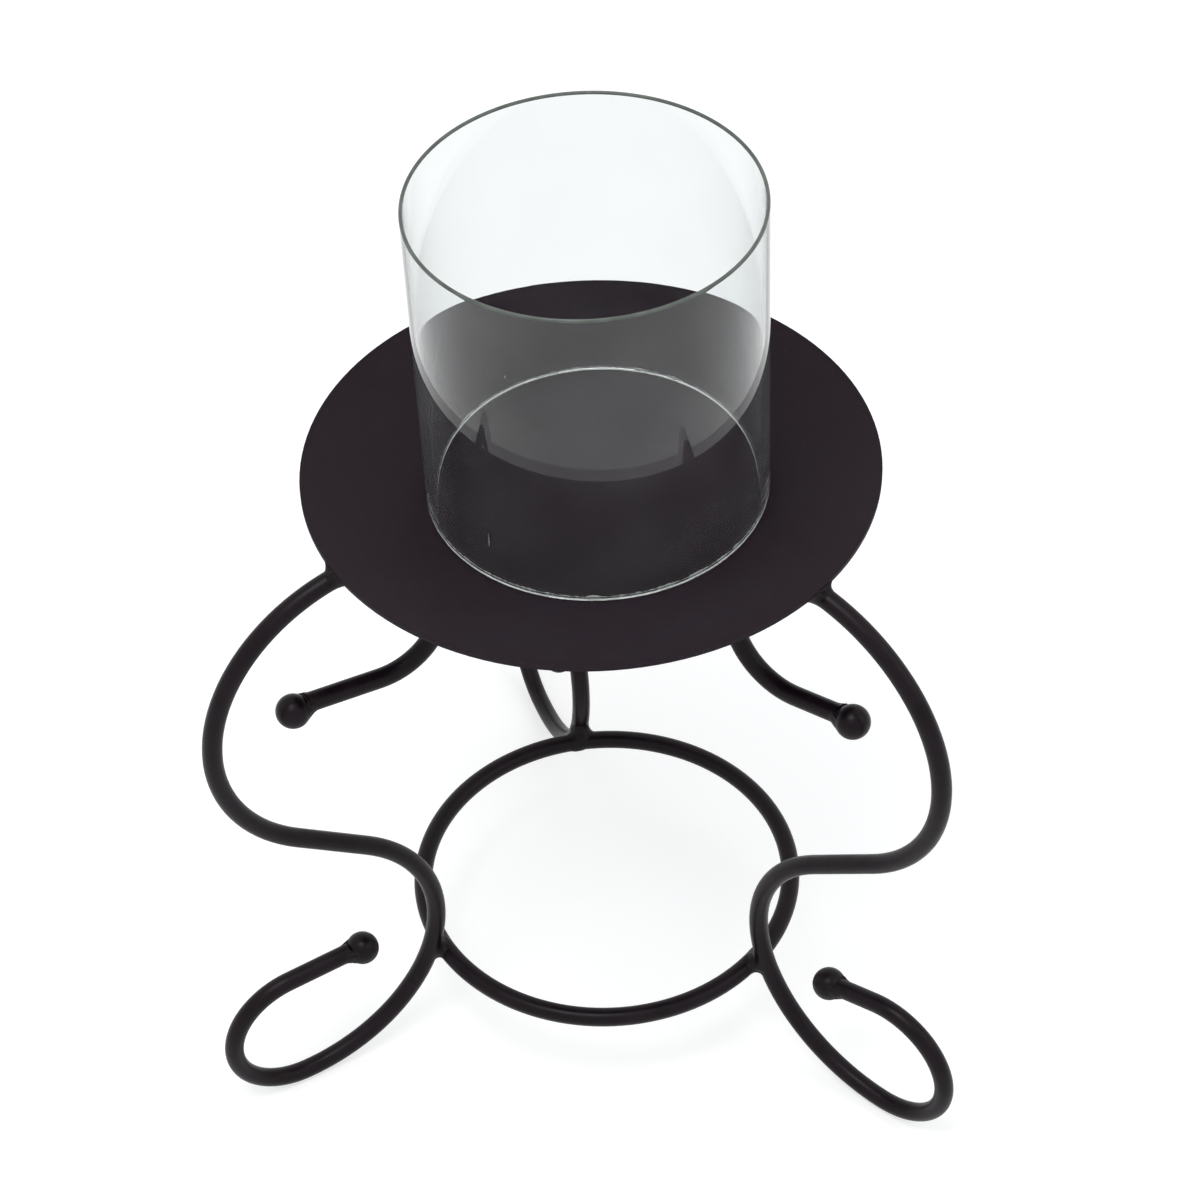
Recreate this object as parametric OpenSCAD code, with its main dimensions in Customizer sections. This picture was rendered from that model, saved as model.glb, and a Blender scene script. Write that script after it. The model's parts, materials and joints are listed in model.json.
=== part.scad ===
// Tabletop pillar-candle stand: a dished round sheet-steel plate on three S-scroll legs,
// each bent from one round bar, with a base ring welded between the legs' waists
// and an open glass tube standing loose on the plate. Millimetres, +Z up.
// The origin is on the plate's axis at floor level; the front leg pair faces -Y.

/* [Plate] */
// Diameter of the round plate
plate_d = 170; // [154:1:190]
// Thickness of the plate's sheet steel
plate_t = 1.2; // [0.8:0.1:2]
// Radius of the shallow hollow the plate is dished to
dish_r = 230; // [215:5:400]
// Height of the plate's rim above the floor
rim_height = 214.8; // [210:0.2:222]

/* [Glass tube] */
// Outside diameter of the glass tube
glass_d = 101.5; // [80:0.5:120]
// Height of the glass tube
glass_h = 103.5; // [70:0.5:160]
// Wall thickness of the glass
glass_wall = 2.2; // [1.6:0.1:4]
// How far the tube leans from upright, as it stands off the hollow's centre
glass_lean = 1; // [0:0.1:1.1]
// Direction from the hollow's centre to the tube, seen from above, from +X towards +Y
glass_azimuth = 60; // [0:5:360]

/* [Bar] */
// Diameter of the round bar of the legs and the ring
bar_d = 6; // [5:0.5:7]

/* [Leg bends] */
// Centreline radius of the tight bend under the plate's edge
knuckle_r = 10.5; // [9:0.5:14]
// Turn of that bend on its outer side, down to the shoulder
knuckle_out = 14; // [10:0.5:18]
// Turn of that bend on its inner side, down to the run beneath the plate
knuckle_in = 23; // [22:0.5:28]
// Straight length of the run beneath the plate
under_run = 17; // [12:0.5:22]
// Centreline radius of the curl
curl_r = 20; // [18:0.5:23]
// Turn from the arch through the shoulder bend, and back again in the waist bend
shoulder_turn = 144; // [140:0.5:150]
// Centreline radius of the waist bend, which ends level on the floor
waist_r = 51; // [46:1:57]
// Centreline radius of the toe bend
toe_r = 22.8; // [20:0.2:27]

/* [Left leg] */
// Direction of the left leg, seen from above, from +X towards +Y
left_azimuth = 208.4; // [200:0.2:220]
// How far the leg's plane is turned about its ring weld
left_twist = -1.1; // [-6:0.1:6]
// How far in from the plate's edge the top of its arch is
left_inset = 1.2; // [0:0.1:10]
// Turn of its curl
left_curl_turn = 161.5; // [150:0.5:175]
// Straight length from its curl to its top ball
left_curl_tail = 23.5; // [15:0.5:28]
// Turn of its toe bend
left_toe_turn = 176; // [168:0.5:196]
// Straight length from its toe bend to its foot ball
left_toe_tail = 21.5; // [12:0.5:27]

/* [Right leg] */
// Direction of the right leg
right_azimuth = 319.6; // [310:0.2:330]
// How far the leg's plane is turned about its ring weld
right_twist = -1.4; // [-6:0.1:6]
// How far in from the plate's edge the top of its arch is
right_inset = 1.2; // [0:0.1:10]
// Turn of its curl
right_curl_turn = 166.5; // [150:0.5:175]
// Straight length from its curl to its top ball
right_curl_tail = 16.5; // [15:0.5:28]
// Turn of its toe bend
right_toe_turn = 193; // [168:0.5:196]
// Straight length from its toe bend to its foot ball
right_toe_tail = 13.5; // [12:0.5:27]

/* [Rear leg] */
// Direction of the rear leg
rear_azimuth = 96; // [85:0.5:105]
// How far the leg's plane is turned about its ring weld
rear_twist = 11.5; // [-15:0.5:15]
// How far in from the plate's edge the top of its arch is
rear_inset = 8; // [0:0.1:10]
// Turn of its curl
rear_curl_turn = 164; // [150:0.5:175]
// Straight length from its curl to its top ball
rear_curl_tail = 20; // [15:0.5:28]
// Turn of its toe bend
rear_toe_turn = 178; // [168:0.5:196]
// Straight length from its toe bend to its foot ball
rear_toe_tail = 23; // [12:0.5:27]

/* [Base ring] */
// Height of the ring's centreline above the floor
ring_height = 33; // [26:0.5:50]
// Centreline diameter of the ring
ring_d = 121.4; // [110:0.2:132]

/* [Balls] */
// Diameter of the steel balls on the bar ends
ball_d = 10.5; // [9:0.25:12]
// How far each leg's top ball hangs below the bar's axis: left leg
left_top_sag = 1.4; // [0:0.1:2]
// Right leg's top ball
right_top_sag = 0.8; // [0:0.1:2]
// Rear leg's top ball
rear_top_sag = 0.8; // [0:0.1:2]
// Left leg's foot ball
left_foot_sag = 0.9; // [0:0.1:2]
// Right leg's foot ball
right_foot_sag = 0.2; // [0:0.1:2]
// Rear leg's foot ball
rear_foot_sag = 0.5; // [0:0.1:2]

/* [Welds] */
// How deep two welded pieces press into each other
weld_bite = 0.2; // [0.1:0.05:0.25]
// Height of the bead's flank under the plate
plate_bead_h = 2.8; // [1.6:0.1:3.4]
// Length of the bead under the plate
plate_bead_l = 20; // [14:0.5:24]
// How much of that length lies outward of the place where the bar touches
plate_bead_out = 5.8; // [3:0.1:5.8]
// Diameter of the weld at the ring
ring_bead_d = 8.5; // [7.5:0.25:10]
// Length of the weld collar behind each ball
ball_bead_l = 2; // [1:0.1:3]
// How far the collar stands proud of the bar
ball_bead_lip = 0.25; // [0.15:0.05:0.5]
// Radius of the hollow fillet that climbs the plate's edge beside the left leg
rim_bead_r = 3; // [2:0.25:4]

/* [Hidden] */

$fn = 128;
bend_fn = 240;
dish_fn = 1440;
plate_black = [0.17, 0.15, 0.17];
bar_black = [0.08, 0.08, 0.09];
weld_black = [0.12, 0.11, 0.11];
glass_clear = [0.86, 0.93, 0.9, 0.35];

bar_r = bar_d / 2;
ball_r = ball_d / 2;
ring_r = ring_d / 2;
rim_r = plate_d / 2;

// The plate is a cap of two spheres about one centre high above it.
dish_centre_z = rim_height + sqrt(dish_r * dish_r - rim_r * rim_r);
under_r = dish_r + plate_t;

// The ring nestles against the inside of the waist bends, below their narrowest place.
waist_centre_z = bar_r + waist_r;
ring_to_waist = waist_r + bar_d - weld_bite;
ring_tilt = asin((waist_centre_z - ring_height) / ring_to_waist);
foot_reach = ring_r + ring_to_waist * cos(ring_tilt);
seat_out = bar_r - weld_bite / 2;
seat_x = ring_r + seat_out * cos(ring_tilt);
seat_z = ring_height + seat_out * sin(ring_tilt);

// The ball is pressed this far onto the bar's square end.
ball_bite = 0.7;
// The glass stands this much clear of the plate.
glass_gap = 0.3;
// The seam between two runs of the bar is closed by a ball that stands this proud.
seam_proud = 0.01;
// Thickness of a weld bead at its toes, where it thins out on the plate
bead_toe = 0.25;

// One leg's own values: place, twist, inset, curl turn and tail, toe turn and tail, sags
LEFT = [left_azimuth, left_twist, left_inset, left_curl_turn, left_curl_tail,
    left_toe_turn, left_toe_tail, left_top_sag, left_foot_sag];
RIGHT = [right_azimuth, right_twist, right_inset, right_curl_turn, right_curl_tail,
    right_toe_turn, right_toe_tail, right_top_sag, right_foot_sag];
REAR = [rear_azimuth, rear_twist, rear_inset, rear_curl_turn, rear_curl_tail,
    rear_toe_turn, rear_toe_tail, rear_top_sag, rear_foot_sag];

// The knuckle of each leg touches the dish from below. Its centre lies in the leg's plane,
// which passes beside the stand's axis by the leg's twist.
function arch_x(leg) = rim_r - leg[2];
function from_axis(leg) = arch_x(leg) - seat_x * (1 - cos(leg[1]));
function touch(leg) = knuckle_r + sqrt(pow(under_r + bar_r - weld_bite, 2) - pow(seat_x * sin(leg[1]), 2));
function touch_slope(leg) = asin(from_axis(leg) / touch(leg));
function arch_z(leg) = dish_centre_z - touch(leg) * cos(touch_slope(leg)) + knuckle_r;

// What the shoulder and the straight below it must span, and the two lengths that do it
function span_x(leg) = foot_reach - arch_x(leg) - knuckle_r * sin(knuckle_out) - waist_r * sin(shoulder_turn);
function span_z(leg) = arch_z(leg) - bar_r - knuckle_r * (1 - cos(knuckle_out)) - waist_r * (1 - cos(shoulder_turn));
function shoulder_r(leg) = (span_x(leg) * sin(shoulder_turn) - span_z(leg) * cos(shoulder_turn))
    / (1 - cos(shoulder_turn - knuckle_out));
function mid_straight(leg) = ((sin(shoulder_turn) - sin(knuckle_out)) * span_z(leg)
    - (cos(knuckle_out) - cos(shoulder_turn)) * span_x(leg)) / (1 - cos(shoulder_turn - knuckle_out));

// --- the bar, bent in the XZ plane: +X is the way it runs, a positive turn bends it up ---

module after_run(length)
    translate([length, 0, 0])
        children();

module after_bend(radius, turn)
    translate([0, 0, sign(turn) * radius])
        rotate([0, -turn, 0])
            translate([0, 0, -sign(turn) * radius])
                children();

module run(length)
    rotate([0, 90, 0])
        cylinder(d = bar_d, h = length);

module bend(radius, turn)
    translate([0, 0, sign(turn) * radius])
        rotate([90, 0, 0])
            rotate([0, 0, turn > 0 ? -90 : 90 + turn])
                rotate_extrude(angle = abs(turn), $fn = bend_fn)
                    translate([radius, 0])
                        circle(d = bar_d);

module seam()
    sphere(r = bar_r + seam_proud);

// --- places along a leg, in the leg's own plane: +X is away from the stand's axis ---

module at_arch(leg)
    translate([arch_x(leg), 0, arch_z(leg)])
        children();

module at_shoulder(leg)
    at_arch(leg)
        after_bend(knuckle_r, -knuckle_out)
            children();

module at_mid(leg)
    at_shoulder(leg)
        after_bend(shoulder_r(leg), knuckle_out - shoulder_turn)
            children();

module at_waist(leg)
    at_mid(leg)
        after_run(mid_straight(leg))
            children();

module at_toe(leg)
    at_waist(leg)
        after_bend(waist_r, shoulder_turn)
            children();

module at_toe_tail(leg)
    at_toe(leg)
        after_bend(toe_r, leg[5])
            children();

module at_foot_ball(leg)
    at_toe_tail(leg)
        after_run(leg[6])
            children();

module at_under_run(leg)
    at_arch(leg)
        rotate([0, 0, 180])
            after_bend(knuckle_r, -knuckle_in)
                children();

module at_curl(leg)
    at_under_run(leg)
        after_run(under_run)
            children();

module at_curl_tail(leg)
    at_curl(leg)
        after_bend(curl_r, -leg[3])
            children();

module at_top_ball(leg)
    at_curl_tail(leg)
        after_run(leg[4])
            children();

// Where the knuckle touches the dish: +X runs outward along it, +Z is square to it.
module at_touch(leg)
    at_arch(leg)
        translate([0, 0, -knuckle_r])
            rotate([0, -touch_slope(leg), 0])
                translate([0, 0, knuckle_r + bar_r])
                    children();

// Stands a leg's plane at its azimuth, turned about its ring weld by its twist.
module stand(leg)
    rotate([0, 0, leg[0]])
        translate([seat_x, 0, 0])
            rotate([0, 0, leg[1]])
                translate([-seat_x, 0, 0])
                    children();

// The whole bar, from the top ball over the arch and down to the foot ball.
module leg_bar(leg) {
    at_curl_tail(leg) {
        seam();
        run(leg[4]);
    }
    at_curl(leg) {
        seam();
        bend(curl_r, -leg[3]);
    }
    at_under_run(leg) {
        seam();
        run(under_run);
        rotate([0, 0, 180])
            bend(knuckle_r, -knuckle_in - knuckle_out);
    }
    at_shoulder(leg) {
        seam();
        bend(shoulder_r(leg), knuckle_out - shoulder_turn);
    }
    at_mid(leg) {
        seam();
        run(mid_straight(leg));
    }
    at_waist(leg) {
        seam();
        bend(waist_r, shoulder_turn);
    }
    at_toe(leg) {
        seam();
        bend(toe_r, leg[5]);
    }
    at_toe_tail(leg) {
        seam();
        run(leg[6]);
    }
}

module ring_bar()
    translate([0, 0, ring_height])
        rotate_extrude($fn = bend_fn)
            translate([ring_r, 0])
                circle(d = bar_d);

// The flat between leg and ring at their weld: side 1 is the leg's, -1 the ring's.
module seat_flat(side)
    translate([seat_x, 0, seat_z])
        rotate([0, -ring_tilt, 0])
            translate([side > 0 ? 0 : -bar_r, -bar_r, -bar_r])
                cube([bar_r, bar_d, bar_d]);

// Everything above the plate's underside and within its rim, the plate itself included
module above_underside()
    translate([0, 0, dish_centre_z])
        rotate_extrude($fn = 3 * bend_fn)
            intersection() {
                circle(r = under_r, $fn = dish_fn);
                translate([0, -under_r - 1])
                    square([rim_r, under_r + 1]);
            }

// --- the pieces ---

// The tube stands in the hollow on its outer edge, square to it, so it leans when off centre.
module glass_tube()
    color(glass_clear)
        translate([0, 0, dish_centre_z])
            rotate([0, 0, glass_azimuth])
                rotate([0, -glass_lean, 0])
                    translate([0, 0, glass_gap - sqrt(dish_r * dish_r - glass_d * glass_d / 4)])
                        rotate_extrude($fn = bend_fn)
                            translate([glass_d / 2 - glass_wall, 0])
                                union() {
                                    square([glass_wall, glass_h - glass_wall / 2]);
                                    translate([glass_wall / 2, glass_h - glass_wall / 2])
                                        circle(d = glass_wall);
                                }

module plate()
    color(plate_black)
        translate([0, 0, dish_centre_z])
            rotate_extrude($fn = bend_fn)
                intersection() {
                    difference() {
                        circle(r = under_r, $fn = dish_fn);
                        circle(r = dish_r, $fn = dish_fn);
                    }
                    translate([0, -under_r - 1])
                        square([rim_r, under_r + 1]);
                }

// The ring is pressed flat where each leg is welded to it.
module base_ring()
    color(bar_black)
        difference() {
            ring_bar();
            for (leg = [LEFT, RIGHT, REAR])
                stand(leg)
                    seat_flat(1);
        }

// One bent bar, pressed flat where it is welded to the plate and to the ring.
module leg(leg)
    color(bar_black)
        difference() {
            stand(leg)
                difference() {
                    leg_bar(leg);
                    seat_flat(-1);
                }
            above_underside();
        }

// A ball on the bar's square end, which bites into it.
module ball(sag)
    color(bar_black)
        difference() {
            translate([ball_r - ball_bite, 0, sag])
                sphere(r = ball_r);
            after_run(-bar_d)
                run(bar_d);
        }

// The weld collar between bar and ball, a hollow cone that hangs a little low too.
module ball_weld(sag)
    color(weld_black)
        difference() {
            translate([-ball_bead_l, 0, sag / 2])
                rotate([0, 90, 0])
                    cylinder(r1 = bar_r + ball_bead_lip, r2 = bar_r + 3 * ball_bead_lip,
                        h = ball_bead_l + ball_bite);
            after_run(-2 * bar_d)
                run(2 * bar_d);
            translate([ball_r - ball_bite, 0, sag])
                sphere(r = ball_r);
        }

// Cross-section of the bead under the plate: sloped flanks that reach the bar's sides.
// It is tall enough to be cut off by the dish.
module plate_bead_section() {
    half = bar_r + plate_bead_h;
    polygon([[-half, plate_bead_h], [-half, -bead_toe], [-bar_r, -plate_bead_h],
        [bar_r, -plate_bead_h], [half, -bead_toe], [half, plate_bead_h]]);
}

// Outline of the bead seen from above, along X: straight sides and chamfered ends.
module plate_bead_outline() {
    half = bar_r + plate_bead_h;
    polygon([[0, -half / 2], [half / 2, -half], [plate_bead_l - half / 2, -half], [plate_bead_l, -half / 2],
        [plate_bead_l, half / 2], [plate_bead_l - half / 2, half], [half / 2, half], [0, half / 2]]);
}

// The bead runs along the touching place, out to the plate's edge on the front legs.
module plate_bead(leg)
    at_touch(leg)
        translate([plate_bead_out - plate_bead_l, 0, 0])
            intersection() {
                rotate([90, 0, 90])
                    linear_extrude(plate_bead_l)
                        plate_bead_section();
                translate([0, 0, -plate_bead_h])
                    linear_extrude(2 * plate_bead_h)
                        plate_bead_outline();
            }

// No weld runs in between bar and plate where they touch: it stays at the sides and ends.
module touch_slot()
    translate([-plate_bead_l / 2, -bar_r / 2, -bar_r / 2])
        cube([plate_bead_l / 2 + 0.7 * plate_bead_out, bar_r, bar_d]);

// The lump of weld in the corner between the plate's edge and the bar's clockwise side.
module rim_bead(leg) {
    foot = arch_z(leg) - bar_r / 2;
    translate([rim_r - rim_bead_r, -bar_r - rim_bead_r, foot])
        linear_extrude(rim_height - bead_toe - foot)
            difference() {
                square([2 * rim_bead_r, rim_bead_r + bar_r / 2]);
                translate([2 * rim_bead_r + bead_toe, -bead_toe])
                    circle(r = rim_bead_r);
            }
}

module plate_weld(leg, rim = false)
    color(weld_black)
        difference() {
            stand(leg) {
                plate_bead(leg);
                if (rim)
                    rim_bead(leg);
            }
            above_underside();
            stand(leg) {
                leg_bar(leg);
                at_touch(leg)
                    touch_slot();
            }
        }

// The weld between ring and waist, a drop that fills the corners of the crossing.
module ring_weld(leg)
    color(weld_black)
        difference() {
            stand(leg)
                difference() {
                    translate([seat_x, 0, seat_z])
                        sphere(d = ring_bead_d);
                    at_waist(leg)
                        bend(waist_r, shoulder_turn);
                }
            ring_bar();
        }

glass_tube();
plate();
base_ring();
leg(LEFT);  // leg_left
leg(RIGHT);  // leg_right
leg(REAR);  // leg_rear
stand(LEFT) at_top_ball(LEFT) ball(LEFT[7]);  // top_ball_left
stand(RIGHT) at_top_ball(RIGHT) ball(RIGHT[7]);  // top_ball_right
stand(REAR) at_top_ball(REAR) ball(REAR[7]);  // top_ball_rear
stand(LEFT) at_foot_ball(LEFT) ball(LEFT[8]);  // foot_ball_left
stand(RIGHT) at_foot_ball(RIGHT) ball(RIGHT[8]);  // foot_ball_right
stand(REAR) at_foot_ball(REAR) ball(REAR[8]);  // foot_ball_rear
plate_weld(LEFT, rim = true);  // plate_weld_left
plate_weld(RIGHT);  // plate_weld_right
plate_weld(REAR);  // plate_weld_rear
ring_weld(LEFT);  // ring_weld_left
ring_weld(RIGHT);  // ring_weld_right
ring_weld(REAR);  // ring_weld_rear
stand(LEFT) at_top_ball(LEFT) ball_weld(LEFT[7]);  // top_ball_weld_left
stand(RIGHT) at_top_ball(RIGHT) ball_weld(RIGHT[7]);  // top_ball_weld_right
stand(REAR) at_top_ball(REAR) ball_weld(REAR[7]);  // top_ball_weld_rear
stand(LEFT) at_foot_ball(LEFT) ball_weld(LEFT[8]);  // foot_ball_weld_left
stand(RIGHT) at_foot_ball(RIGHT) ball_weld(RIGHT[8]);  // foot_ball_weld_right
stand(REAR) at_foot_ball(REAR) ball_weld(REAR[8]);  // foot_ball_weld_rear
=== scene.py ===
"""Looks of a tabletop pillar-candle stand: black scroll legs, a dished round plate and an open glass tube.

Everything is in metres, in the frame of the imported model: +Z up, the front leg pair facing -Y.
"""

import json
import math

import bmesh
import bpy
from mathutils import Matrix, Vector, noise
from mathutils.bvhtree import BVHTree


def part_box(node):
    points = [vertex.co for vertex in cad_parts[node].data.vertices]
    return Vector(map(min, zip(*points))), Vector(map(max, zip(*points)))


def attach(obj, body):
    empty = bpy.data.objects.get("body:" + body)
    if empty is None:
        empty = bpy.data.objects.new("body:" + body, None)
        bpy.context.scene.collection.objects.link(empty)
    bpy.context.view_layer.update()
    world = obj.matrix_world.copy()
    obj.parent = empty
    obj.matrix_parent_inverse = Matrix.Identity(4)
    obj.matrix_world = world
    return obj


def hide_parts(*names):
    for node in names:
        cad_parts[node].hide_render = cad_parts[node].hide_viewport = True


MM = 0.001
SIDES = ("left", "right", "rear")

# The Mix node's colour sockets share their names with its other types, so they go by number.
MIX_A = 6
MIX_B = 7
MIX_RESULT = 2

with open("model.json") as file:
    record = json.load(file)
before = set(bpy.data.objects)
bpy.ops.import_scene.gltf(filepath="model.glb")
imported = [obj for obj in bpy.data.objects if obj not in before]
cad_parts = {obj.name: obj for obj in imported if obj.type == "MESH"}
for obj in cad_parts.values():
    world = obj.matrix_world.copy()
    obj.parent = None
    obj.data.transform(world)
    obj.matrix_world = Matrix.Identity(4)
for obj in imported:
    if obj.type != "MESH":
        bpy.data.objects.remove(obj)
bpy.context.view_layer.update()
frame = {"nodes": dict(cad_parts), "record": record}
nodes = frame["nodes"]


# --- node helpers ----------------------------------------------------------------------------

def new_material(name):
    """An empty node material with its Principled shader: (material, node tree, shader)."""
    material = bpy.data.materials.new(name)
    material.use_nodes = True
    tree = material.node_tree
    return material, tree, tree.nodes["Principled BSDF"]


def object_coords(tree):
    return tree.nodes.new("ShaderNodeTexCoord").outputs["Object"]


def noise_field(tree, vector, scale, detail=3.0, roughness=0.5):
    """A noise value over the surface; scale is in waves per metre."""
    node = tree.nodes.new("ShaderNodeTexNoise")
    node.inputs["Scale"].default_value = scale
    node.inputs["Detail"].default_value = detail
    node.inputs["Roughness"].default_value = roughness
    tree.links.new(vector, node.inputs["Vector"])
    return node.outputs["Fac"]


def remap(tree, value, low, high, to_low, to_high):
    node = tree.nodes.new("ShaderNodeMapRange")
    node.inputs["From Min"].default_value = low
    node.inputs["From Max"].default_value = high
    node.inputs["To Min"].default_value = to_low
    node.inputs["To Max"].default_value = to_high
    tree.links.new(value, node.inputs["Value"])
    return node.outputs["Result"]


def mix_colour(tree, factor, first, second):
    """A colour between two; each is an RGB triple or a socket."""
    node = tree.nodes.new("ShaderNodeMix")
    node.data_type = "RGBA"
    tree.links.new(factor, node.inputs["Factor"])
    for socket, colour in ((node.inputs[MIX_A], first), (node.inputs[MIX_B], second)):
        if isinstance(colour, tuple):
            socket.default_value = (*colour, 1.0)
        else:
            tree.links.new(colour, socket)
    return node.outputs[MIX_RESULT]


def bump(tree, height, distance, strength=1.0, below=None):
    node = tree.nodes.new("ShaderNodeBump")
    node.inputs["Strength"].default_value = strength
    node.inputs["Distance"].default_value = distance
    tree.links.new(height, node.inputs["Height"])
    if below is not None:
        tree.links.new(below, node.inputs["Normal"])
    return node.outputs["Normal"]


# --- materials -------------------------------------------------------------------------------

def plate_paint():
    """Satin black spray paint with a purple-brown cast, a fine orange peel and settled dust."""
    material, tree, shader = new_material("plate_paint")
    where = object_coords(tree)
    cloud = noise_field(tree, where, 38.0, detail=4.0)
    tone = mix_colour(tree, remap(tree, cloud, 0.35, 0.65, 0.0, 1.0),
                      (0.0110, 0.0052, 0.0098), (0.0134, 0.0070, 0.0120))
    dust = noise_field(tree, where, 2600.0, detail=1.0)
    speck = remap(tree, dust, 0.72, 0.80, 0.0, 0.45)
    tree.links.new(mix_colour(tree, speck, tone, (0.10, 0.09, 0.09)), shader.inputs["Base Color"])
    tree.links.new(remap(tree, cloud, 0.3, 0.7, 0.50, 0.60), shader.inputs["Roughness"])
    peel = noise_field(tree, where, 900.0, detail=2.0)
    tree.links.new(bump(tree, peel, 0.00003, 0.5), shader.inputs["Normal"])
    shader.inputs["Specular IOR Level"].default_value = 0.14
    return material


def bar_paint():
    """Semi-gloss black paint on round bar, thinner and duller in streaks."""
    material, tree, shader = new_material("bar_paint")
    where = object_coords(tree)
    cloud = noise_field(tree, where, 120.0, detail=3.0)
    tone = mix_colour(tree, remap(tree, cloud, 0.35, 0.65, 0.0, 1.0),
                      (0.0050, 0.0022, 0.0040), (0.0084, 0.0044, 0.0070))
    tree.links.new(tone, shader.inputs["Base Color"])
    tree.links.new(remap(tree, cloud, 0.3, 0.7, 0.30, 0.42), shader.inputs["Roughness"])
    runs = noise_field(tree, where, 260.0, detail=3.0)
    peel = noise_field(tree, where, 1500.0, detail=2.0)
    coarse = bump(tree, runs, 0.0002, 0.35)
    tree.links.new(bump(tree, peel, 0.00003, 0.35, below=coarse), shader.inputs["Normal"])
    shader.inputs["Specular IOR Level"].default_value = 0.15
    return material


def weld_paint():
    """The same paint over the small ripples and spatter of weld metal."""
    material, tree, shader = new_material("weld_paint")
    where = object_coords(tree)
    cloud = noise_field(tree, where, 420.0, detail=4.0)
    tone = mix_colour(tree, remap(tree, cloud, 0.35, 0.65, 0.0, 1.0),
                      (0.0050, 0.0028, 0.0042), (0.0110, 0.0075, 0.0092))
    tree.links.new(tone, shader.inputs["Base Color"])
    tree.links.new(remap(tree, cloud, 0.3, 0.7, 0.34, 0.52), shader.inputs["Roughness"])
    grain = noise_field(tree, where, 1300.0, detail=3.0)
    tree.links.new(bump(tree, grain, 0.0001, 0.4), shader.inputs["Normal"])
    shader.inputs["Specular IOR Level"].default_value = 0.15
    return material


def clear_glass():
    """Clear glass under a film of dust, smeared in patches, and greyer where it turns from the eye.
    The index is lower than real glass's 1.5: it was set so to dim the white floor's reflection."""
    material, tree, shader = new_material("clear_glass")
    where = object_coords(tree)
    shader.inputs["IOR"].default_value = 1.33
    smear = noise_field(tree, where, 45.0, detail=5.0, roughness=0.6)
    tree.links.new(remap(tree, smear, 0.60, 0.75, 0.0, 0.05), shader.inputs["Roughness"])
    slant = tree.nodes.new("ShaderNodeLayerWeight")
    slant.inputs["Blend"].default_value = 0.3
    turned = remap(tree, slant.outputs["Facing"], 0.40, 1.0, 0.0, 1.0)
    tint = mix_colour(tree, turned, (0.885, 0.908, 0.903), (0.78, 0.79, 0.785))
    tree.links.new(tint, shader.inputs["Base Color"])
    clear_of_dust = tree.nodes.new("ShaderNodeMath")
    clear_of_dust.operation = "SUBTRACT"
    tree.links.new(remap(tree, smear, 0.35, 0.70, 0.996, 0.980), clear_of_dust.inputs[0])
    tree.links.new(remap(tree, slant.outputs["Facing"], 0.40, 1.0, 0.0, 0.14), clear_of_dust.inputs[1])
    tree.links.new(clear_of_dust.outputs[0], shader.inputs["Transmission Weight"])
    return material


def painted_shade_rim_glass():
    """The fire-rounded upper rim, in painted shade: an opaque dark grey-green stands in for the darkness
    that light piped up the wall gives the clear glass.
    """
    material, tree, shader = new_material("painted_shade_rim_glass")
    cloud = noise_field(tree, object_coords(tree), 160.0, detail=3.0)
    # Painted shade: these dark grey-greens stand in for the rim's darkness from light piped up the wall, not
    # for a colour of the glass.
    tone = mix_colour(tree, remap(tree, cloud, 0.35, 0.65, 0.0, 1.0),
                      (0.085, 0.100, 0.088), (0.125, 0.140, 0.125))
    tree.links.new(tone, shader.inputs["Base Color"])
    tree.links.new(remap(tree, cloud, 0.3, 0.7, 0.16, 0.26), shader.inputs["Roughness"])
    shader.inputs["Specular IOR Level"].default_value = 0.3
    return material


def ground_glass():
    """The roughly cut foot and small chips: white where the broken surface scatters light."""
    material, tree, shader = new_material("ground_glass")
    where = object_coords(tree)
    cloud = noise_field(tree, where, 700.0, detail=4.0)
    tone = mix_colour(tree, remap(tree, cloud, 0.38, 0.62, 0.0, 1.0),
                      (0.66, 0.72, 0.69), (0.93, 0.95, 0.93))
    tree.links.new(tone, shader.inputs["Base Color"])
    tree.links.new(remap(tree, cloud, 0.3, 0.7, 0.55, 0.85), shader.inputs["Roughness"])
    tree.links.new(bump(tree, cloud, 0.0003, 0.5), shader.inputs["Normal"])
    return material


def dried_drip():
    """Dried water on the glass: a thin grey film."""
    material, tree, shader = new_material("dried_drip")
    cloud = noise_field(tree, object_coords(tree), 1500.0, detail=3.0)
    tone = mix_colour(tree, remap(tree, cloud, 0.38, 0.62, 0.0, 1.0), (0.14, 0.15, 0.15), (0.30, 0.31, 0.31))
    tree.links.new(tone, shader.inputs["Base Color"])
    tree.links.new(remap(tree, cloud, 0.3, 0.7, 0.35, 0.60), shader.inputs["Roughness"])
    return material


PLATE_PAINT = plate_paint()
BAR_PAINT = bar_paint()
WELD_PAINT = weld_paint()
CLEAR_GLASS = clear_glass()
# The rim material is painted shade: a dark colour in place of the clear rim's light piping.
PAINTED_SHADE_RIM_GLASS = painted_shade_rim_glass()
GROUND_GLASS = ground_glass()
DRIED_DRIP = dried_drip()


def dress(node_name, material):
    mesh = nodes[node_name].data
    mesh.materials.clear()
    mesh.materials.append(material)


dress("plate", PLATE_PAINT)
dress("base_ring", BAR_PAINT)
dress("glass_tube", CLEAR_GLASS)
for side in SIDES:
    for kind in ("leg", "top_ball", "foot_ball"):
        dress(f"{kind}_{side}", BAR_PAINT)
    for kind in ("plate_weld", "ring_weld", "top_ball_weld", "foot_ball_weld"):
        dress(f"{kind}_{side}", WELD_PAINT)


# --- pieces ----------------------------------------------------------------------------------

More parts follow.
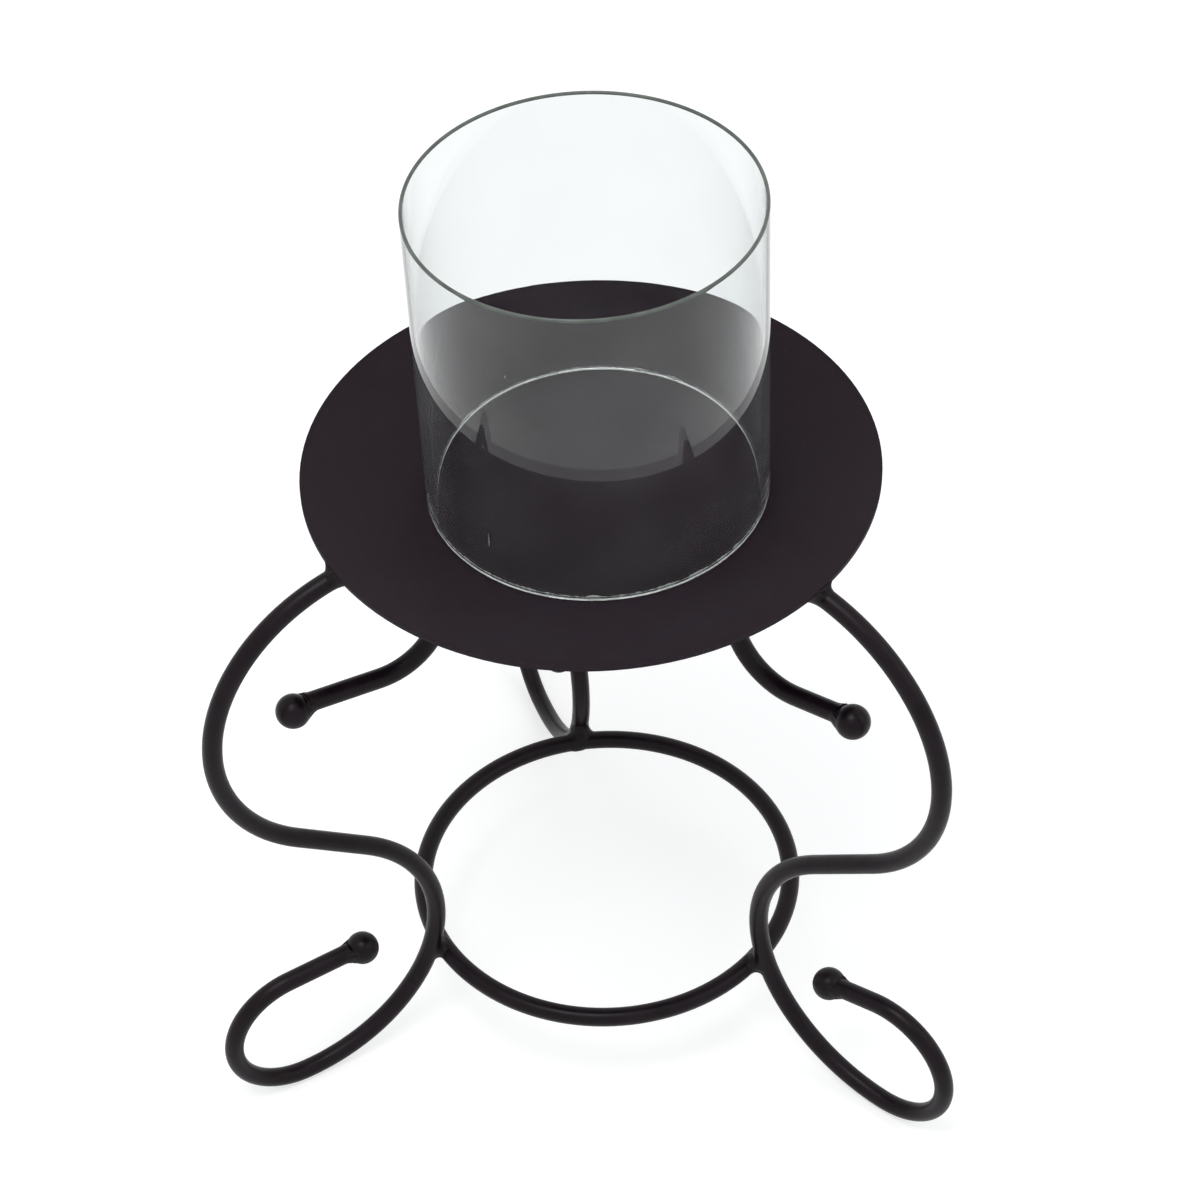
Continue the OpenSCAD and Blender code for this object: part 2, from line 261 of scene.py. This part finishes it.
def add_piece(name, build, materials, body):
    """A smooth-shaded object from a bmesh, riding on a body of the frame."""
    mesh = bpy.data.meshes.new(name)
    build.to_mesh(mesh)
    build.free()
    for material in materials:
        mesh.materials.append(material)
    for face in mesh.polygons:
        face.use_smooth = True
    piece = bpy.data.objects.new(name, mesh)
    bpy.context.scene.collection.objects.link(piece)
    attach(piece, body)
    return piece


def tube_frame():
    """The CAD glass: a function that places (radius, angle, height) round its leaning axis, counted
    from the middle of its foot, and its length, outer radius and inner radius."""
    well = next(m for m in frame["record"]["mounts"] if m["name"] == "candle_well")
    axis = Vector(well["axis"]).normalized()
    origin = Vector(well["pos_m"])
    heights = []
    radii = []
    for vertex in nodes["glass_tube"].data.vertices:
        arm = vertex.co - origin
        heights.append(arm.dot(axis))
        radii.append((arm - arm.dot(axis) * axis).length)
    foot = origin + min(heights) * axis
    turn = Vector((0, 0, 1)).rotation_difference(axis).to_matrix()

    def place(radius, angle, height):
        return foot + turn @ Vector((radius * math.cos(angle), radius * math.sin(angle), height))
    return place, max(heights) - min(heights), max(radii), min(radii)


def closed_skin(loops):
    """A bmesh through closed loops of (point, material index), with the last loop joined to the first."""
    build = bmesh.new()
    rows = [[(build.verts.new(point), material) for point, material in loop] for loop in loops]
    for i, here in enumerate(rows):
        there = rows[(i + 1) % len(rows)]
        for j, (corner, material) in enumerate(here):
            k = (j + 1) % len(here)
            face = build.faces.new((corner, there[j][0], there[k][0], here[k][0]))
            face.material_index = material
    return build


def wall_section(length, outer, inner):
    """A function giving the tube wall's outline at an angle. The outside keeps the CAD's radius, the
    bore widens towards a fire-rounded rim, and the foot is chipped and ground on a narrow strip."""
    # Material indices: clear glass, the rim's painted shade, and ground glass.
    clear, painted_shade_rim, ground = range(3)
    wall = outer - inner
    middle = (outer + inner) / 2
    crest = length - 0.02 * MM
    rim_rise = 0.8 * MM
    lip = 1.1 * MM
    foot_rise = 0.2 * MM
    strip = 0.25 * MM
    chip = 1.2 * MM
    straight = 0.3 * MM
    rim_steps = 12
    foot_steps = 4
    chip_waves = 9
    splinter_waves = 4.3

    def chips(angle, seed):
        """How far the broken edge climbs the wall at this angle: mostly little, here and there a chip."""
        spot = Vector((math.cos(angle), math.sin(angle), seed)) * chip_waves
        broken = max(0.0, noise.noise(spot) - 0.05)
        return chip * (0.05 + broken + 0.6 * abs(noise.noise(spot * splinter_waves)))

    def inside(height):
        """The bore's radius at a height: the wall thins evenly from the foot to the lip."""
        return inner + (wall - lip) * height / (crest - rim_rise)

    def foot_corner(step):
        """How far a step of the foot's rounded corner lies from the strip, and how high."""
        a = math.pi / 2 * step / foot_steps
        return (wall / 2 - strip) * math.sin(a), foot_rise * (1 - math.cos(a))

    def section(angle):
        """A loop of (radius, height, material) at this angle: up the outside and down the bore."""
        outline = [(middle + strip, 0.0, clear)]
        for step in range(1, foot_steps + 1):
            out, up = foot_corner(step)
            outline.append((middle + strip + out, up, ground if step == foot_steps else clear))
        outline.append((outer, foot_rise + 0.4 * chips(angle, 0.0), clear))
        outline.append((outer, 2 * chip, clear))
        outline.append((outer, crest - rim_rise - straight, clear))
        for step in range(rim_steps + 1):
            a = math.pi * step / rim_steps
            outline.append((outer - lip / 2 + lip / 2 * math.cos(a), crest - rim_rise * (1 - math.sin(a)),
                            painted_shade_rim if step < rim_steps else clear))
        for height in (crest - rim_rise - straight, 2 * chip):
            outline.append((inside(height), height, clear))
        bite = chips(angle, 5.0)
        outline.append((inner, foot_rise + bite, ground))
        outline.append((inner + 0.3 * bite, foot_rise + 0.2 * bite, ground))
        for step in range(foot_steps, 0, -1):
            out, up = foot_corner(step)
            outline.append((middle - strip - out, up, clear))
        outline.append((middle - strip, 0.0, ground))
        return outline
    return section


def glass_tube():
    """The open tube, in place of the CAD's plain one."""
    place, length, outer, inner = tube_frame()
    section = wall_section(length, outer, inner)
    rings = 720
    loops = []
    for i in range(rings):
        angle = 2 * math.pi * i / rings
        loops.append([(place(radius, angle, height), material)
                      for radius, height, material in section(angle)])
    tube = add_piece("glass_wall", closed_skin(loops), (CLEAR_GLASS, PAINTED_SHADE_RIM_GLASS, GROUND_GLASS),
                     "glass")
    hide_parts("glass_tube")


def glass_mark(name, azimuth, height, length, width):
    """A small dried drip on the outside of the glass: a flat drop, longer than wide and wider below."""
    place, _, outer, _ = tube_frame()
    thick = 0.12 * MM
    narrowing = 0.35
    build = bmesh.new()
    bmesh.ops.create_icosphere(build, subdivisions=3, radius=1.0)
    for vertex in build.verts:
        x, y, z = vertex.co
        taper = 1 - narrowing * z
        angle = math.radians(azimuth) + x * taper * width / 2 / outer
        vertex.co = place(outer + y * thick, angle, height + z * length / 2)
    add_piece(name, build, (DRIED_DRIP,), "glass")


def distance_to(node_name):
    """A function giving a point's distance to the surface of a CAD node, negative inside it."""
    build = bmesh.new()
    build.from_mesh(nodes[node_name].data)
    bmesh.ops.remove_doubles(build, verts=build.verts, dist=0.001 * MM)
    bmesh.ops.dissolve_degenerate(build, edges=build.edges, dist=0.01 * MM)
    tree = BVHTree.FromBMesh(build)
    build.free()

    def measure(point):
        gap = tree.find_nearest(point)[3]
        around = tree.find_nearest_range(point, gap + 0.02 * MM)
        side_of = sum((point - spot).dot(normal) for spot, normal, _, _ in around)
        return -gap if side_of < 0 else gap
    return measure


def seat(node_name, measure, near):
    """The corner of a node's mesh, in or about a box, that lies deepest in or nearest to another piece."""
    margin = Vector((4 * MM,) * 3)
    low = Vector(near[0]) - margin
    high = Vector(near[1]) + margin
    points = [v.co for v in nodes[node_name].data.vertices
              if all(low[i] < v.co[i] < high[i] for i in range(3))]
    return min(points, key=measure).copy()


def above_plate():
    """A function that is positive above the plate's dished top face and negative below it."""
    low = next(m for m in frame["record"]["mounts"] if m["name"] == "candle_seat")["pos_m"][2]
    rim = max((v.co for v in nodes["plate"].data.vertices), key=lambda co: co.z)
    rise = rim.z - low
    dish = (rim.xy.length_squared + rise * rise) / (2 * rise)
    return lambda point: dish - (point - Vector((0, 0, low + dish))).length


def box_middle(node_name):
    low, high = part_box(node_name)
    return (Vector(low) + Vector(high)) / 2


def run_together(first, second, fillet):
    """Two distances joined by a hollow fillet, and how near the seam lies, from 0 to 1."""
    blend = max(fillet - abs(first - second), 0.0) / fillet
    return min(first, second) - blend * blend * fillet / 4, blend


def weld_metal(to_first, to_second, centre, fillet, lumps, cover, top):
    """A function giving a point's distance to the weld's surface, negative inside it."""
    coarse = 1.5 * MM
    fine = 0.6 * MM

    def depth(point):
        metal, seam = run_together(to_first(point), to_second(point), fillet)
        for x, y, z, radius in lumps:
            lump = (point - centre - Vector((x, y, z))).length - radius
            metal, swell = run_together(metal, lump, fillet)
            seam = max(seam, swell)
        ripple = 0.16 * noise.noise(point / coarse) + 0.10 * noise.noise(point / fine)
        metal += WELD_SUNK - seam * ripple * MM
        if cover:
            metal = max(metal, cover(point) + WELD_SUNK)
        if top is not None:
            metal = max(metal, point.z - centre.z - top)
        return metal
    return depth


def leaves_metal(depth, centre, way, reach):
    """How far from the centre a ray leaves the metal, or about reach where it stays inside."""
    steps = 12
    halvings = 7
    least_step = 0.15 * MM
    inside = 0.0
    outside = 0.3 * MM
    for _ in range(steps):
        gap = depth(centre + way * outside)
        if gap > 0 or outside >= reach:
            break
        inside = outside
        outside = min(outside + max(-0.7 * gap, least_step), reach)
    for _ in range(halvings):
        middle = (inside + outside) / 2
        if depth(centre + way * middle) > 0:
            outside = middle
        else:
            inside = middle
    return inside


def weld_bead(name, first, second, fillet, reach, centre=None, lumps=(), cover=None, top=None):
    """Weld metal where two nodes meet: their surfaces run into each other in a hollow fillet,
    rippled along the seam, and lie just under the bare metal elsewhere. Its centre is the given one, or
    where the first node lies deepest in the second, and each lump is (x, y, z, radius) from there.
    No metal rises past cover, or higher than top above the centre."""
    to_first = distance_to(first)
    to_second = distance_to(second)
    if centre is None:
        centre = seat(first, to_second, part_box(name))
    depth = weld_metal(to_first, to_second, centre, fillet, lumps, cover, top)
    build = bmesh.new()
    bmesh.ops.create_icosphere(build, subdivisions=5, radius=1.0)
    for vertex in build.verts:
        way = vertex.co.normalized()
        vertex.co = centre + way * leaves_metal(depth, centre, way, reach)
    piece = add_piece(f"{name}_bead", build, (WELD_PAINT,), "stand")
    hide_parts(name)


WELD_SUNK = 0.05 * MM
PLATE_FILLET = 5.0 * MM
RING_FILLET = 2.4 * MM
BALL_FILLET = 3.0 * MM
PLATE_REACH = 11 * MM
RING_REACH = 8 * MM
BALL_REACH = 6 * MM
BALL_NOTCH = 2.4 * MM
RING_LUMP = (0.0, 0.0, 0.0, 3.1 * MM)
RING_DRIP = (-1.2 * MM, -3.4 * MM, -2.6 * MM, 1.5 * MM)

glass_tube()
glass_mark("drip_mark", -128.2, 15.6 * MM, 5.0 * MM, 0.5 * MM)
glass_mark("speck_mark", -117.2, 80.6 * MM, 1.2 * MM, 0.7 * MM)
for side in SIDES:
    leg = f"leg_{side}"
    weld_bead(f"plate_weld_{side}", leg, "plate", PLATE_FILLET, PLATE_REACH, cover=above_plate())
    weld_bead(f"ring_weld_{side}", leg, "base_ring", RING_FILLET, RING_REACH,
              lumps=(RING_LUMP, RING_DRIP) if side == "rear" else (RING_LUMP,))
    for end in ("top", "foot"):
        name = f"{end}_ball_weld_{side}"
        weld_bead(name, leg, f"{end}_ball_{side}", BALL_FILLET, BALL_REACH,
                  centre=box_middle(name), top=BALL_NOTCH)


# --- floor, light and camera -------------------------------------------------------------------

STAND_MIDDLE = Vector((0, 0, 0.12))


def seen_directly(tree):
    """1 for rays that come from the camera, from gloss or through glass, and 0 for the rest."""
    path = tree.nodes.new("ShaderNodeLightPath")
    either = tree.nodes.new("ShaderNodeMath")
    either.operation = "MAXIMUM"
    tree.links.new(path.outputs["Is Camera Ray"], either.inputs[0])
    tree.links.new(path.outputs["Is Glossy Ray"], either.inputs[1])
    any_of_three = tree.nodes.new("ShaderNodeMath")
    any_of_three.operation = "MAXIMUM"
    tree.links.new(either.outputs[0], any_of_three.inputs[0])
    tree.links.new(path.outputs["Is Transmission Ray"], any_of_three.inputs[1])
    return any_of_three.outputs[0]


def white_world():
    """White to the eye, in reflections and through glass, and a soft grey light to everything else."""
    world = bpy.data.worlds.new("studio")
    bpy.context.scene.world = world
    world.use_nodes = True
    tree = world.node_tree
    tree.nodes.clear()
    light = tree.nodes.new("ShaderNodeBackground")
    light.inputs["Color"].default_value = (0.96, 0.98, 1.0, 1.0)
    light.inputs["Strength"].default_value = 0.70
    white = tree.nodes.new("ShaderNodeBackground")
    white.inputs["Color"].default_value = (1.0, 1.0, 1.0, 1.0)
    mix = tree.nodes.new("ShaderNodeMixShader")
    out = tree.nodes.new("ShaderNodeOutputWorld")
    tree.links.new(seen_directly(tree), mix.inputs["Fac"])
    tree.links.new(light.outputs[0], mix.inputs[1])
    tree.links.new(white.outputs[0], mix.inputs[2])
    tree.links.new(mix.outputs[0], out.inputs["Surface"])


def floor_paper():
    """White paper: plain to the light it bounces, and with a glow added where it is seen."""
    material = bpy.data.materials.new("floor_white")
    material.use_nodes = True
    tree = material.node_tree
    tree.nodes.clear()
    out = tree.nodes.new("ShaderNodeOutputMaterial")
    bouncing = tree.nodes.new("ShaderNodeBsdfDiffuse")
    bouncing.inputs["Color"].default_value = (0.80, 0.80, 0.80, 1.0)
    shaded = tree.nodes.new("ShaderNodeBsdfDiffuse")
    shaded.inputs["Color"].default_value = (0.58, 0.58, 0.58, 1.0)
    glow = tree.nodes.new("ShaderNodeEmission")
    glow.inputs["Strength"].default_value = 0.60
    seen = tree.nodes.new("ShaderNodeAddShader")
    mix = tree.nodes.new("ShaderNodeMixShader")
    tree.links.new(shaded.outputs[0], seen.inputs[0])
    tree.links.new(glow.outputs[0], seen.inputs[1])
    tree.links.new(seen_directly(tree), mix.inputs["Fac"])
    tree.links.new(bouncing.outputs[0], mix.inputs[1])
    tree.links.new(seen.outputs[0], mix.inputs[2])
    tree.links.new(mix.outputs[0], out.inputs["Surface"])
    return material


def white_floor():
    """A floor that reads as white, also in glass and gloss, and keeps the stand's shadow."""
    half = 2.5
    corners = [(-half, -half, 0), (half, -half, 0), (half, half, 0), (-half, half, 0)]
    mesh = bpy.data.meshes.new("floor")
    mesh.from_pydata(corners, [], [(0, 1, 2, 3)])
    mesh.materials.append(floor_paper())
    floor = bpy.data.objects.new("floor", mesh)
    bpy.context.scene.collection.objects.link(floor)


def softbox(name, place, size, power):
    """A rectangular area lamp that faces the middle of the stand; size in metres, power in watts."""
    lamp = bpy.data.lights.new(name, "AREA")
    lamp.shape = "RECTANGLE"
    lamp.size, lamp.size_y = size
    lamp.energy = power
    box = bpy.data.objects.new(name, lamp)
    box.location = place
    box.rotation_euler = (STAND_MIDDLE - Vector(place)).to_track_quat("-Z", "Y").to_euler()
    bpy.context.scene.collection.objects.link(box)


def camera():
    """The camera fitted to the photograph: a long lens, 1.1 m away, looking 44 degrees down."""
    place = Vector((0.0, -0.7064, 0.8411))
    pitch = math.radians(44.02)
    yaw = math.radians(0.10)
    roll = math.radians(-2.19)
    forward = Vector((math.sin(yaw) * math.cos(pitch), math.cos(yaw) * math.cos(pitch), -math.sin(pitch)))
    right = Vector((math.cos(yaw), -math.sin(yaw), 0.0))
    up = right.cross(forward)
    right_rolled = math.cos(roll) * right + math.sin(roll) * up
    up_rolled = -math.sin(roll) * right + math.cos(roll) * up
    turn = Matrix((right_rolled, up_rolled, -forward)).transposed()
    lens = bpy.data.cameras.new("camera")
    lens.sensor_width = 36.0
    lens.lens = 96.96
    lens.clip_start = 0.01
    eye = bpy.data.objects.new("camera", lens)
    eye.matrix_world = Matrix.Translation(place) @ turn.to_4x4()
    bpy.context.scene.collection.objects.link(eye)
    bpy.context.scene.camera = eye


white_world()
white_floor()
softbox("key", (-0.20, -0.35, 1.25), (0.5, 0.5), 4.6)
softbox("fill", (0.9, -0.3, 0.9), (0.8, 0.8), 1.6)
camera()
bpy.context.scene.view_settings.view_transform = "Standard"
